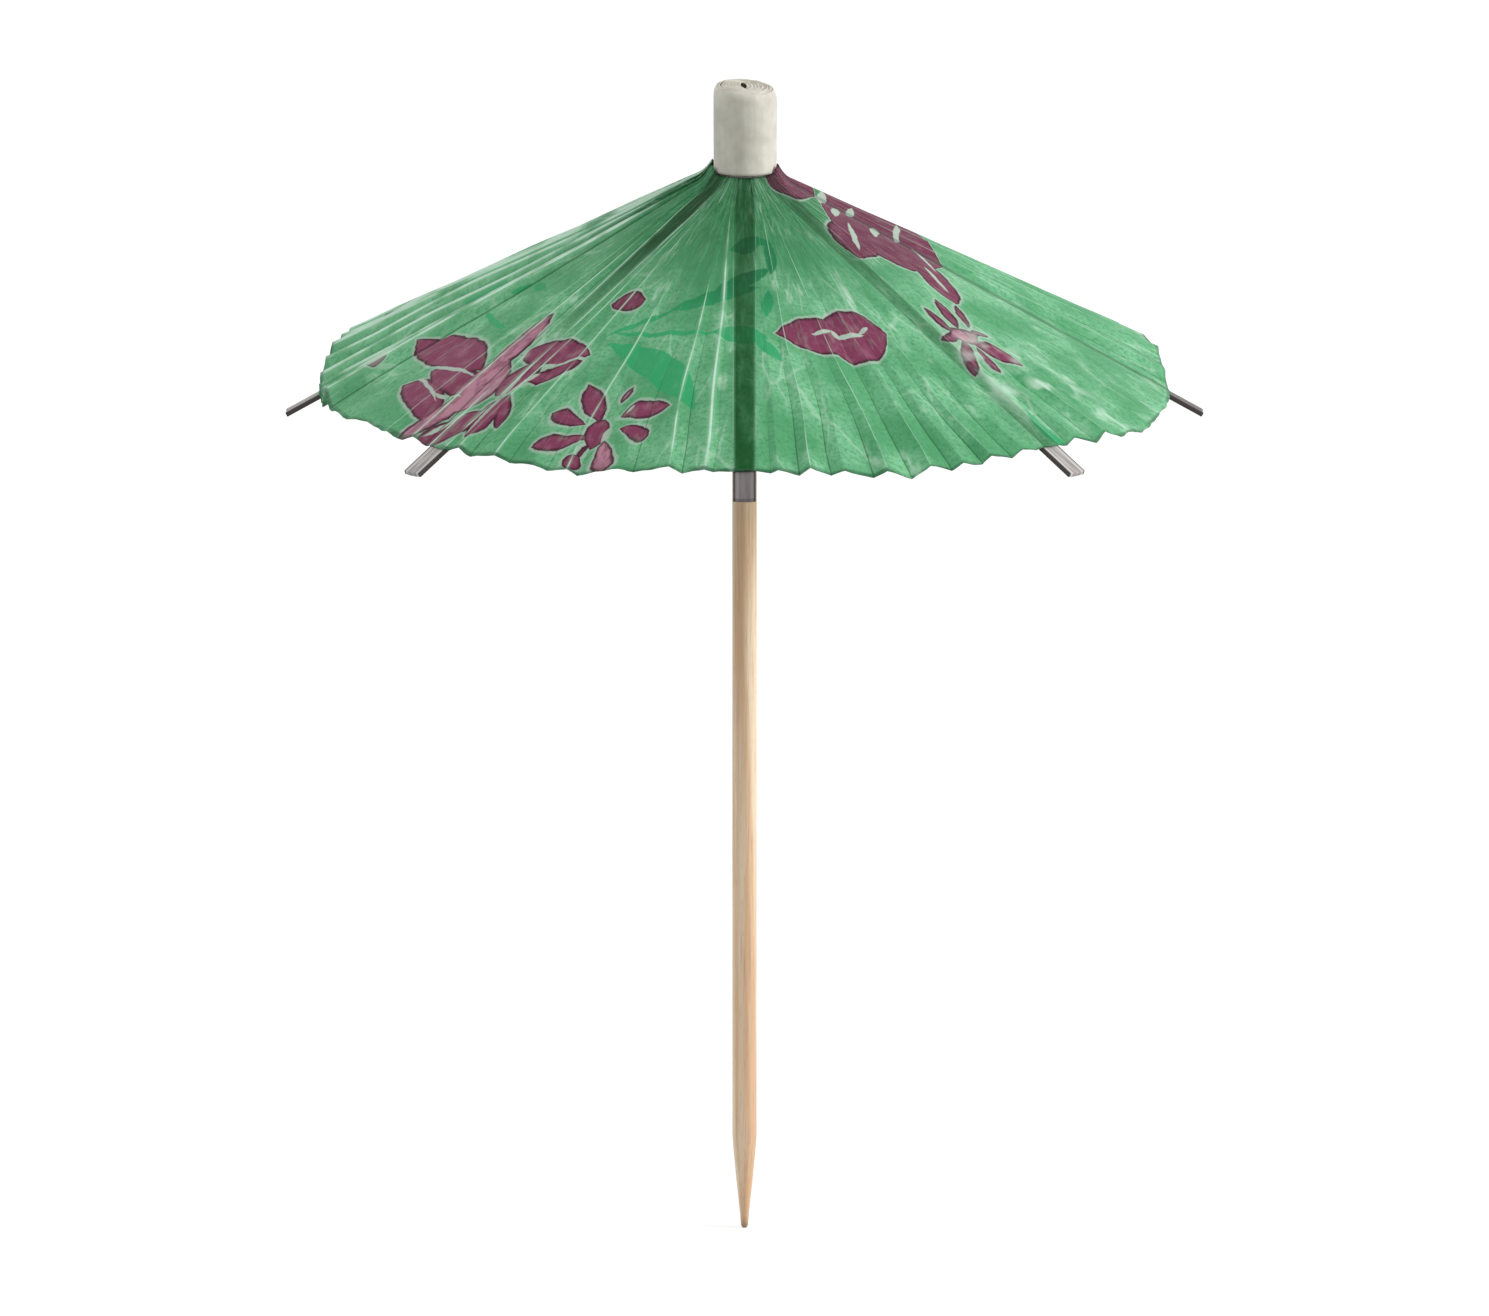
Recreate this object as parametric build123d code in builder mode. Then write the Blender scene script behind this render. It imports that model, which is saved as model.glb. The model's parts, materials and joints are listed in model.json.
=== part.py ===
from build123d import *
import os
from math import asin, cos, degrees, radians, sin, tan

os.makedirs("parts", exist_ok=True)

# A cocktail umbrella pick, open. Sizes are in mm and degrees.
# The origin is the point of the stick, +Z runs up the stick, and the first rib points to -Y.

# The whole pick
overall_height = 100.0
rib_count = 8
first_rib_azimuth = -90.0
gore_angle = 360.0 / rib_count

# Gaps between pieces
glue_gap = 0.03
paper_gap = 0.1
hinge_gap = 0.05
slide_gap = 0.03
stop_gap = 0.1

# Stick: a thick shank below, a slightly thinner neck above that the ring and runner park on
shank_radius = 1.05
neck_radius = 1.01
neck_length = 31.5
neck_blend_length = 1.0
stick_recess = 0.35
point_height = 8.2
point_middle_height = 4.5
point_middle_radius = 0.73
point_end_radius = 0.3
point_end_round = 0.18

# Cap: rolled white paper on top, over the card band and the paper filler
cap_height = 7.6
cap_radius = 2.8
cap_top_radius = 2.65
cap_top_thickness = 1.6
cap_top_round = 0.5
cap_hole_round = 0.2

# Ribs: flat card strips that fold at the lower edge of the card band
card_thickness = 0.4
hinge_radius = 2.05
hinge_drop = 0.4
rib_slope = 29.0
rib_width = 1.8
rib_root_width = 1.25
rib_shoulder = 5.0
rib_tip_circle_radius = 39.0
rib_tip_round = 0.25
rib_closed_from_stick = 6.0
band_lift = 0.16

# Canopy: one pleated paper disc, divided along the folds half way between the ribs
paper_thickness = 0.12
paper_rim_radius = 36.2
paper_hole_radius = 2.45
ridges_each_side = 3
rib_flat_angle = 1.5
ridge_height = 0.6
sag_share = 0.4
seam_gap = 0.04
paper_trim = 1.0

# Struts: card strips from the ribs' undersides to the runner
strut_thickness = 0.35
strut_width = 1.1
strut_length = 11.0
strut_reach = 11.0

# Runner: a rolled card tube with a notch for each strut, and the plastic ring under it
runner_radius = 2.7
runner_pivot_radius = 2.45
runner_length = 7.0
runner_rim_round = 0.2
notch_side_gap = 0.1
notch_floor_gap = 0.08
notch_top = 0.45
notch_end_gap = 0.2
ring_radius = 2.3
ring_height = 1.8
ring_round = 0.45

# Sizes that follow from the ones above
cap_base = overall_height - cap_height
cap_ceiling = overall_height - cap_top_thickness
band_top = cap_ceiling - glue_gap
hinge_height = cap_base - hinge_drop
neck_start = overall_height - neck_length
rib_azimuths = [first_rib_azimuth + gore_angle * k for k in range(rib_count)]
rib_angle = 90.0 - rib_slope
rib_swing = rib_angle - rib_closed_from_stick
rib_length = (rib_tip_circle_radius - hinge_radius) / cos(radians(rib_slope))
knuckle_radius = card_thickness / 2
strut_knuckle_radius = strut_thickness / 2
band_inner_radius = hinge_radius - card_thickness / 2
band_outer_radius = hinge_radius + card_thickness / 2
cap_inner_radius = band_outer_radius + glue_gap
neck_bore_radius = neck_radius + glue_gap
sliding_bore_radius = shank_radius + slide_gap
strut_offset = knuckle_radius + hinge_gap + strut_knuckle_radius


# Places in the plane of one rib: (distance from the stick's axis, height)
def strut_top(angle):
    out = hinge_radius + strut_reach * sin(radians(angle)) - strut_offset * cos(radians(angle))
    up = hinge_height - strut_reach * cos(radians(angle)) - strut_offset * sin(radians(angle))
    return out, up


# The strut's lean from upright that puts its lower end on the runner's pivot circle
def strut_lean(angle):
    return degrees(asin((strut_top(angle)[0] - runner_pivot_radius) / strut_length))


def strut_foot(angle, lean):
    out, up = strut_top(angle)
    return out - strut_length * sin(radians(lean)), up - strut_length * cos(radians(lean))


open_lean = strut_lean(rib_angle)
closed_lean = strut_lean(rib_closed_from_stick)
pivot_height = strut_foot(rib_angle, open_lean)[1]
runner_travel = pivot_height - strut_foot(rib_closed_from_stick, closed_lean)[1]


# Ribs and struts turn in step with the runner, so a strut's foot runs ahead of the runner half way.
# The notches are long enough for that.
def foot_lead(share):
    angle = rib_angle - share * rib_swing
    lean = open_lean + share * (closed_lean - open_lean)
    return pivot_height - share * runner_travel - strut_foot(angle, lean)[1]


travel_steps = 50
longest_lead = max(foot_lead(step / travel_steps) for step in range(travel_steps + 1))
runner_top = pivot_height + notch_top
notch_length = notch_top + longest_lead + strut_knuckle_radius + notch_end_gap
notch_floor_radius = runner_pivot_radius - strut_knuckle_radius - notch_floor_gap
notch_width = strut_width + 2 * notch_side_gap
ring_top = runner_top - runner_length
spacer_bottom = runner_top + stop_gap
spacer_outer_radius = band_inner_radius - glue_gap
print("runner travel", runner_travel, "rib swing", rib_swing)
print("strut top", strut_top(rib_angle), "strut turn", rib_swing + open_lean - closed_lean)

# Wooden stick
with BuildPart() as stick:
    with BuildSketch(Plane.XZ):
        with BuildLine():
            Polyline(
                (0, 0),
                (point_end_radius - point_end_round, 0),
                (point_end_radius, point_end_round),
                (point_middle_radius, point_middle_height),
                (shank_radius, point_height),
                (shank_radius, neck_start),
                (neck_radius, neck_start + neck_blend_length),
                (neck_radius, overall_height - stick_recess),
                (0, overall_height - stick_recess),
                close=True,
            )
        make_face()
    revolve(axis=Axis.Z)

# White paper cap. Its roll closes in to the stick above the card band.
with BuildPart() as cap_tube:
    with BuildSketch(Plane.XZ):
        with BuildLine():
            Polyline(
                (cap_inner_radius, cap_base),
                (cap_radius, cap_base),
                (cap_top_radius, overall_height),
                (neck_bore_radius, overall_height),
                (neck_bore_radius, cap_ceiling),
                (cap_inner_radius, cap_ceiling),
                close=True,
            )
        make_face()
    revolve(axis=Axis.Z)
    top_rims = cap_tube.edges().filter_by(GeomType.CIRCLE).group_by(Axis.Z)[-1].sort_by(SortBy.RADIUS)
    fillet(top_rims[0], radius=cap_hole_round)
    top_rims = cap_tube.edges().filter_by(GeomType.CIRCLE).group_by(Axis.Z)[-1].sort_by(SortBy.RADIUS)
    fillet(top_rims[-1], radius=cap_top_round)

# Card band inside the cap. Each rib's round root lies in a shallow groove in its lower edge.
with BuildPart() as hub_band:
    with BuildSketch(Plane.XY.offset(hinge_height + band_lift)):
        Circle(band_outer_radius)
        Circle(band_inner_radius, mode=Mode.SUBTRACT)
    extrude(amount=band_top - hinge_height - band_lift)
    with PolarLocations(0, rib_count, start_angle=first_rib_azimuth):
        with Locations(Location((hinge_radius, 0, hinge_height), (90, 0, 0))):
            Cylinder(knuckle_radius + hinge_gap, 2 * hinge_radius, mode=Mode.SUBTRACT)

# Rolled paper filler between the stick and the band
with BuildPart() as spacer_roll:
    with BuildSketch(Plane.XY.offset(spacer_bottom)):
        Circle(spacer_outer_radius)
        Circle(neck_bore_radius, mode=Mode.SUBTRACT)
    extrude(amount=band_top - spacer_bottom)

# One card rib over +X
rib_plane = Plane(
    origin=(hinge_radius, 0, hinge_height),
    x_dir=(cos(radians(rib_slope)), 0, -sin(radians(rib_slope))),
    z_dir=(sin(radians(rib_slope)), 0, cos(radians(rib_slope))),
)
with BuildPart() as rib:
    with BuildSketch(rib_plane) as rib_outline:
        with BuildLine():
            Polyline(
                (0, -rib_root_width / 2),
                (rib_shoulder, -rib_width / 2),
                (rib_length, -rib_width / 2),
                (rib_length, rib_width / 2),
                (rib_shoulder, rib_width / 2),
                (0, rib_root_width / 2),
                close=True,
            )
        make_face()
        fillet(rib_outline.vertices().group_by(Axis.X)[-1], radius=rib_tip_round)
    extrude(amount=card_thickness / 2, both=True)
    with Locations(Location((hinge_radius, 0, hinge_height), (90, 0, 0))):
        Cylinder(knuckle_radius, rib_root_width)

# One card strut under the rib over +X, with a round end on each pivot
strut_top_out, strut_top_up = strut_top(rib_angle)
strut_plane = Plane(
    origin=(runner_pivot_radius, 0, pivot_height),
    x_dir=(sin(radians(open_lean)), 0, cos(radians(open_lean))),
    z_dir=(-cos(radians(open_lean)), 0, sin(radians(open_lean))),
)
with BuildPart() as strut:
    with BuildSketch(strut_plane):
        Rectangle(strut_length, strut_width, align=(Align.MIN, Align.CENTER))
    extrude(amount=strut_thickness / 2, both=True)
    with Locations(
        Location((runner_pivot_radius, 0, pivot_height), (90, 0, 0)),
        Location((strut_top_out, 0, strut_top_up), (90, 0, 0)),
    ):
        Cylinder(strut_knuckle_radius, strut_width)

# Notched card runner
with BuildPart() as runner:
    with BuildSketch(Plane.XY.offset(ring_top)):
        Circle(runner_radius)
        Circle(sliding_bore_radius, mode=Mode.SUBTRACT)
    extrude(amount=runner_length)
    fillet(runner.faces().sort_by(Axis.Z)[0].edges().sort_by(SortBy.LENGTH)[-1], radius=runner_rim_round)
    with BuildSketch(Plane.XY.offset(runner_top)):
        with PolarLocations(notch_floor_radius, rib_count, start_angle=first_rib_azimuth):
            Rectangle(runner_radius, notch_width, align=(Align.MIN, Align.CENTER))
    extrude(amount=-notch_length, mode=Mode.SUBTRACT)

# Plastic ring under the runner
with BuildPart() as retaining_ring:
    with BuildSketch(Plane.XY.offset(ring_top - ring_height)):
        Circle(ring_radius)
        Circle(sliding_bore_radius, mode=Mode.SUBTRACT)
    extrude(amount=ring_height)
    fillet(retaining_ring.edges().filter_by(GeomType.CIRCLE).group_by(SortBy.RADIUS)[-1], radius=ring_round)

# Folds of one paper panel over +X: (azimuth, fall for each mm away from the axis). All meet at one apex.
rib_fall = tan(radians(rib_slope))
paper_rise = paper_thickness / cos(radians(rib_slope))
apex_height = (
    hinge_height
    + hinge_radius * rib_fall
    + knuckle_radius / cos(radians(rib_slope))
    + paper_gap
    + paper_rise
)
fold_step = (gore_angle / 2 - rib_flat_angle) / (2 * ridges_each_side)
half_folds = []
for fold in range(2 * ridges_each_side + 1):
    azimuth = rib_flat_angle + fold * fold_step
    fall = rib_fall * (1 + sag_share * (1 / cos(radians(azimuth)) - 1))
    lift = ridge_height / paper_rim_radius if fold % 2 else 0
    half_folds.append((azimuth, fall - lift))
folds = [(-azimuth, fall) for azimuth, fall in reversed(half_folds)] + half_folds
near_x = paper_hole_radius * cos(radians(gore_angle / 2)) / 2
far_x = paper_rim_radius + paper_trim


def on_fold(fold, x):
    azimuth, fall = fold
    return x, x * tan(radians(azimuth)), apex_height - x / cos(radians(azimuth)) * fall


facets = [
    make_face(Polyline(on_fold(a, near_x), on_fold(a, far_x), on_fold(b, far_x), on_fold(b, near_x), close=True))
    for a, b in zip(folds, folds[1:])
]
half_seam = seam_gap / 2 / sin(radians(gore_angle / 2))
with BuildPart() as canopy_panel:
    for facet in facets:
        extrude(facet, amount=paper_rise, dir=(0, 0, -1))
    with BuildSketch(Plane.XY):
        Circle(paper_rim_radius)
        Circle(paper_hole_radius, mode=Mode.SUBTRACT)
        with BuildLine():
            Polyline(
                (half_seam, 0),
                (half_seam + far_x, -far_x * tan(radians(gore_angle / 2))),
                (half_seam + far_x, far_x * tan(radians(gore_angle / 2))),
                close=True,
            )
        make_face(mode=Mode.INTERSECT)
    extrude(amount=overall_height, mode=Mode.INTERSECT)

# Every piece goes to its own file
pieces = {
    "stick": stick.part,
    "cap_tube": cap_tube.part,
    "hub_band": hub_band.part,
    "spacer_roll": spacer_roll.part,
    "runner": runner.part,
    "retaining_ring": retaining_ring.part,
}
for number, azimuth in enumerate(rib_azimuths, start=1):
    pieces[f"rib_{number}"] = rib.part.rotate(Axis.Z, azimuth)
    pieces[f"strut_{number}"] = strut.part.rotate(Axis.Z, azimuth)
    pieces[f"canopy_panel_{number}"] = canopy_panel.part.rotate(Axis.Z, azimuth)
for name, piece in pieces.items():
    piece.label = name
    export_step(piece, f"parts/{name}.step")
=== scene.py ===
import json
import math
import bmesh
import bpy
from mathutils import Matrix, Vector, noise


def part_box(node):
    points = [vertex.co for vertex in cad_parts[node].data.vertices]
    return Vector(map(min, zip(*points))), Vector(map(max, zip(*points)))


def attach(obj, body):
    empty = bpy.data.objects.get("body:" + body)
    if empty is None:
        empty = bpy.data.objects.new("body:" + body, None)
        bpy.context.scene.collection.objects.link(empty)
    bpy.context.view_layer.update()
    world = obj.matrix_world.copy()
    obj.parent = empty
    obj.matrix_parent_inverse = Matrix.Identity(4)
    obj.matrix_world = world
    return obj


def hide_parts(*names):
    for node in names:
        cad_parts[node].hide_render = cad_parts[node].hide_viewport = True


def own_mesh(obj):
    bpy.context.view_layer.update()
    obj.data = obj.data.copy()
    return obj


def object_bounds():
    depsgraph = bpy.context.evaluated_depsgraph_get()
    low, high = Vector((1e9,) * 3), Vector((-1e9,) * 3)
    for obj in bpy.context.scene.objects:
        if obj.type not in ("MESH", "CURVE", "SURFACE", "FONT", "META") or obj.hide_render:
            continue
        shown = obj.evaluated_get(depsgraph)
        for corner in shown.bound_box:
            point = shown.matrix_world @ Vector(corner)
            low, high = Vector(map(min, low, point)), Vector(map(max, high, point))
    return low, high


# A paper cocktail umbrella on a wooden pick. Lengths are in mm until a mesh is finished, then in metres.
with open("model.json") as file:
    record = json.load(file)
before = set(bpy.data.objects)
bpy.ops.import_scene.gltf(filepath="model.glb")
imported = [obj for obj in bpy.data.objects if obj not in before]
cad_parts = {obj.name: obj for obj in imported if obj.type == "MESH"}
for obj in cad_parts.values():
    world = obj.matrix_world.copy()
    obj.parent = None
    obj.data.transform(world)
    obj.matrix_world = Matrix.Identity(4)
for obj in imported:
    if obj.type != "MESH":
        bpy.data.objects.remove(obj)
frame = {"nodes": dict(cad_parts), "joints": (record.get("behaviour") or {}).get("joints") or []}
cadLow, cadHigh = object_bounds()
scene = bpy.context.scene
mm = 0.001


# Sizes that the looks share with the solids
def nodeBox(node):
    low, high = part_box(node)
    return low / mm, high / mm


stickHigh = nodeBox("stick")[1]
capLow, capHigh = nodeBox("cap_tube")
bandHigh = nodeBox("hub_band")[1]
frontRibLow = nodeBox("rib_1")[0]
frontPaperLow = nodeBox("canopy_panel_1")[0]
ribFolds = [joint for joint in frame["joints"] if joint["name"].startswith("rib_")]
ribCount = len(ribFolds)
hinges = [Vector(joint["pos_m"]) / mm for joint in ribFolds]
azimuths = [math.atan2(hinge.y, hinge.x) for hinge in hinges]
hingeRadius = hinges[0].xy.length
hingeHeight = hinges[0].z
halfGore = math.pi / ribCount
shankRadius = stickHigh.x
capRadius = capHigh.x
capBase, capTop = capLow.z, capHigh.z
paperRim = -frontPaperLow.y
print("frame:", ribCount, "ribs, stick", round(stickHigh.z, 2), "mm long")


# Mesh helpers
def between(low, high, value):
    return min(1.0, max(0.0, (value - low) / (high - low)))


def mixed(a, b, share):
    return a + (b - a) * share


def gridSheet(rowCount, columnCount):
    # a flat grid, with the row and column of each of its vertices
    work = bmesh.new()
    bmesh.ops.create_grid(work, x_segments=rowCount - 1, y_segments=columnCount - 1, size=1)
    address = {}
    for vert in work.verts:
        row = round((vert.co.x + 1) / 2 * (rowCount - 1))
        column = round((vert.co.y + 1) / 2 * (columnCount - 1))
        address[vert] = row, column
    return work, address


def faceOut(work, outward):
    # turns a sheet over if most of it faces the wrong way
    bmesh.ops.recalc_face_normals(work, faces=work.faces)
    if sum(face.normal.dot(outward(face.calc_center_median())) for face in work.faces) < 0:
        bmesh.ops.reverse_faces(work, faces=work.faces)


def finishPiece(name, work, body, material, node):
    bmesh.ops.scale(work, vec=(mm, mm, mm), verts=work.verts)
    mesh = bpy.data.meshes.new(name)
    work.to_mesh(mesh)
    work.free()
    mesh.materials.append(material)
    mesh.shade_smooth()
    piece = bpy.data.objects.new(name, mesh)
    scene.collection.objects.link(piece)
    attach(piece, body)
    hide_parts(node)
    return piece


def thicken(piece, thickness):
    wall = piece.modifiers.new("paper", "SOLIDIFY")
    wall.thickness = thickness * mm
    wall.offset = 0.0


# Node helpers
def put(tree, kind, sockets=None, **settings):
    node = tree.nodes.new(kind)
    for name, value in settings.items():
        setattr(node, name, value)
    for key, value in (sockets or {}).items():
        if isinstance(value, bpy.types.NodeSocket):
            tree.links.new(value, node.inputs[key])
        else:
            node.inputs[key].default_value = value
    return node


def calc(tree, operation, *values):
    return put(tree, "ShaderNodeMath", dict(enumerate(values)), operation=operation).outputs[0]


def times(tree, *values):
    total = values[0]
    for value in values[1:]:
        total = calc(tree, "MULTIPLY", total, value)
    return total


def least(tree, values):
    total = values[0]
    for value in values[1:]:
        total = calc(tree, "MINIMUM", total, value)
    return total


def calcVector(tree, operation, *values):
    return put(tree, "ShaderNodeVectorMath", dict(enumerate(values)), operation=operation).outputs[0]


def scaled(tree, vector, factors):
    return calcVector(tree, "MULTIPLY", vector, factors)


def lengthOf(tree, vector):
    return put(tree, "ShaderNodeVectorMath", {0: vector}, operation="LENGTH").outputs["Value"]


def partsOf(tree, vector):
    return put(tree, "ShaderNodeSeparateXYZ", {0: vector}).outputs


def rise(tree, value, low, high, bottom=0.0, top=1.0):
    sockets = {"Value": value, "From Min": low, "From Max": high, "To Min": bottom, "To Max": top}
    return put(tree, "ShaderNodeMapRange", sockets, interpolation_type="SMOOTHSTEP").outputs[0]


def blend(tree, factor, a, b, kind="MIX"):
    return put(tree, "ShaderNodeMix", {0: factor, 6: a, 7: b}, data_type="RGBA", blend_type=kind).outputs[2]


def noiseOf(tree, vector, scale, detail=3.0, roughness=0.55, distortion=0.0):
    sockets = {"Vector": vector, "Scale": scale, "Detail": detail, "Roughness": roughness,
               "Distortion": distortion}
    return put(tree, "ShaderNodeTexNoise", sockets).outputs[0]


def jitterOf(tree, vector, scale, reach):
    # a small uneven shift of a place on the paper
    field = put(tree, "ShaderNodeTexNoise", {"Vector": vector, "Scale": scale, "Detail": 2.0})
    shift = calcVector(tree, "SUBTRACT", field.outputs["Color"], (0.5, 0.5, 0.5))
    return scaled(tree, shift, (reach, reach, 0.0))


def bumpOf(tree, height, strength, depth):
    sockets = {"Strength": strength, "Distance": depth * mm, "Height": height}
    return put(tree, "ShaderNodeBump", sockets).outputs[0]


def mapOf(tree, name):
    return put(tree, "ShaderNodeUVMap", uv_map=name).outputs[0]


def objectPlace(tree):
    # Object coordinates in mm
    place = put(tree, "ShaderNodeTexCoord").outputs["Object"]
    return scaled(tree, place, (1 / mm, 1 / mm, 1 / mm))


def tint(red, green, blue):
    # from the 0 to 255 values of a colour picker to linear light
    def linear(value):
        share = value / 255
        return share / 12.92 if share <= 0.04045 else ((share + 0.055) / 1.055) ** 2.4
    return linear(red), linear(green), linear(blue), 1.0


def newMaterial(name, specular):
    material = bpy.data.materials.new(name)
    material.use_nodes = True
    shader = material.node_tree.nodes["Principled BSDF"]
    shader.inputs["Specular IOR Level"].default_value = specular
    return material, material.node_tree, shader


def connect(tree, shader, colour, roughness, normal):
    tree.links.new(colour, shader.inputs["Base Color"])
    tree.links.new(roughness, shader.inputs["Roughness"])
    tree.links.new(normal, shader.inputs["Normal"])


def newGroup(name, inputs, outputs):
    group = bpy.data.node_groups.new(name, "ShaderNodeTree")
    for label, kind in inputs.items():
        group.interface.new_socket(name=label, in_out="INPUT", socket_type="NodeSocket" + kind)
    for label in outputs:
        group.interface.new_socket(name=label, in_out="OUTPUT", socket_type="NodeSocketFloat")
    return group, group.nodes.new("NodeGroupInput").outputs, group.nodes.new("NodeGroupOutput").inputs


def useGroup(tree, group, sockets):
    return put(tree, "ShaderNodeGroup", sockets, node_tree=group).outputs


# Paper fibre, for every paper and card finish: cloudy mottling and short hairs
def makeFibreGroup():
    group, entry, leave = newGroup("paperFibre", {"Place": "Vector", "Size": "Float"}, ["Cloud", "Hair"])
    finer = calc(group, "DIVIDE", 1.0, entry["Size"])
    cloud = noiseOf(group, entry["Place"], finer, detail=4.0)
    hairPlace = scaled(group, entry["Place"], (3.0, 0.8, 1.8))
    hair = noiseOf(group, hairPlace, finer, detail=2.0, distortion=1.5)
    group.links.new(cloud, leave["Cloud"])
    group.links.new(rise(group, hair, 0.4, 0.7), leave["Hair"])
    return group


fibreGroup = makeFibreGroup()

# Wood of the stick: long pale and reddish streaks, fine pores, a darker point
woodLook = {
    "pale": tint(250, 225, 192),
    "tan": tint(226, 180, 136),
    "red": tint(190, 146, 116),
    "dark": tint(96, 72, 58),
    "darkPoint": (0.2, 1.7),
    "grainDepth": 0.03,
}


def makeWood():
    material, tree, shader = newMaterial("paleWood", 1.0)
    place = objectPlace(tree)
    broad = noiseOf(tree, scaled(tree, place, (1.1, 1.1, 0.035)), 1.0, detail=3.0)
    fine = noiseOf(tree, scaled(tree, place, (7.0, 7.0, 0.14)), 1.0, detail=4.0, roughness=0.65)
    pores = noiseOf(tree, scaled(tree, place, (16.0, 16.0, 0.5)), 1.0, detail=2.0)
    colour = blend(tree, rise(tree, broad, 0.35, 0.65), woodLook["pale"], woodLook["tan"])
    colour = blend(tree, times(tree, rise(tree, fine, 0.5, 0.72), 0.55), colour, woodLook["red"])
    colour = blend(tree, times(tree, rise(tree, pores, 0.6, 0.75), 0.3), colour, woodLook["dark"])
    low, high = woodLook["darkPoint"]
    unevenHeight = calc(tree, "ADD", partsOf(tree, place)["Z"], times(tree, fine, 0.8))
    colour = blend(tree, times(tree, rise(tree, unevenHeight, high, low), 0.7), colour, woodLook["dark"])
    grain = calc(tree, "SUBTRACT", fine, times(tree, rise(tree, pores, 0.55, 0.7), 0.5))
    connect(tree, shader, colour, rise(tree, fine, 0.2, 0.8, 0.36, 0.54),
            bumpOf(tree, grain, 0.5, woodLook["grainDepth"]))
    return material


# Rolled paper of the cap and of the filler under it
def makeRolledPaper(name, light, shade, fibreSize):
    material, tree, shader = newMaterial(name, 0.5)
    place = objectPlace(tree)
    fibre = useGroup(tree, fibreGroup, {"Place": place, "Size": fibreSize})
    creases = noiseOf(tree, scaled(tree, place, (1.6, 1.6, 0.12)), 1.0, detail=3.0)
    colour = blend(tree, rise(tree, fibre["Cloud"], 0.2, 0.8), light, shade)
    colour = blend(tree, times(tree, rise(tree, creases, 0.5, 0.8), 0.5), colour, shade)
    height = calc(tree, "ADD", times(tree, fibre["Hair"], 0.3), times(tree, creases, 3.0))
    rough = rise(tree, fibre["Cloud"], 0.2, 0.8, 0.5, 0.66)
    connect(tree, shader, colour, rough, bumpOf(tree, height, 0.3, 0.05))
    return material


# Grey card of the struts, band, runner and ribs
cardLook = {
    "light": tint(200, 196, 192),
    "shade": tint(162, 156, 154),
    "fleck": tint(128, 118, 112),
    "edge": tint(62, 55, 54),
    "shadeAndSoil": tint(104, 96, 98),
    "cut": tint(226, 224, 220),
    "tissue": tint(96, 182, 126),
    "tissueShade": tint(66, 148, 96),
}


def makeCard():
    material, tree, shader = newMaterial("greyCard", 0.25)
    place = objectPlace(tree)
    fibre = useGroup(tree, fibreGroup, {"Place": place, "Size": 0.8})
    flecks = rise(tree, noiseOf(tree, place, 3.4, detail=1.0), 0.68, 0.74)
    colour = blend(tree, rise(tree, fibre["Cloud"], 0.3, 0.7), cardLook["light"], cardLook["shade"])
    colour = blend(tree, times(tree, flecks, 0.5), colour, cardLook["fleck"])
    rough = rise(tree, fibre["Cloud"], 0.2, 0.8, 0.7, 0.9)
    connect(tree, shader, colour, rough, bumpOf(tree, fibre["Hair"], 0.3, 0.02))
    return material


# Card of the ribs: streaks along the strip, a pale line and a dark outline at its edges, tissue glued on top
def makeRibCard():
    material, tree, shader = newMaterial("ribCard", 0.3)
    strip = mapOf(tree, "stripMap")
    side = calc(tree, "ABSOLUTE", partsOf(tree, strip)["Y"])
    streak = noiseOf(tree, scaled(tree, strip, (0.3, 3.0, 0.0)), 1.0, detail=4.0)
    fibre = useGroup(tree, fibreGroup, {"Place": scaled(tree, strip, (1.0, 0.9, 0.0)), "Size": 0.6})
    facts = partsOf(tree, mapOf(tree, "stripFacts"))
    colour = blend(tree, rise(tree, streak, 0.35, 0.65), cardLook["light"], cardLook["shade"])
    # painted shade, with some soiling, darkens some ribs and dims their pale line
    colour = blend(tree, facts["Y"], colour, cardLook["shadeAndSoil"])
    paleLine = times(tree, rise(tree, side, 0.45, 0.6), rise(tree, streak, 0.3, 0.6, 0.2, 0.8),
                     calc(tree, "SUBTRACT", 1.0, facts["Y"]))
    colour = blend(tree, paleLine, colour, cardLook["cut"])
    colour = blend(tree, times(tree, rise(tree, side, 0.78, 0.9), 0.95), colour, cardLook["edge"])
    tissue = blend(tree, rise(tree, streak, 0.35, 0.65), cardLook["tissue"], cardLook["tissueShade"])
    colour = blend(tree, times(tree, facts["X"], rise(tree, side, 0.97, 0.9)), colour, tissue)
    height = calc(tree, "ADD", times(tree, fibre["Hair"], 0.4), streak)
    connect(tree, shader, colour, rise(tree, streak, 0.2, 0.8, 0.55, 0.75), bumpOf(tree, height, 0.3, 0.03))
    return material


# Moulded ring that holds the runner up
ringLook = {"milky": tint(226, 226, 220), "cloudy": tint(204, 205, 200)}


def makeRingPlastic():
    material, tree, shader = newMaterial("milkyPlastic", 0.5)
    place = objectPlace(tree)
    scuffs = noiseOf(tree, scaled(tree, place, (6.0, 6.0, 30.0)), 1.0, detail=2.0)
    colour = blend(tree, noiseOf(tree, place, 0.9, detail=2.0), ringLook["milky"], ringLook["cloudy"])
    connect(tree, shader, colour, rise(tree, scuffs, 0.3, 0.7, 0.35, 0.5), bumpOf(tree, scuffs, 0.15, 0.01))
    return material


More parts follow.
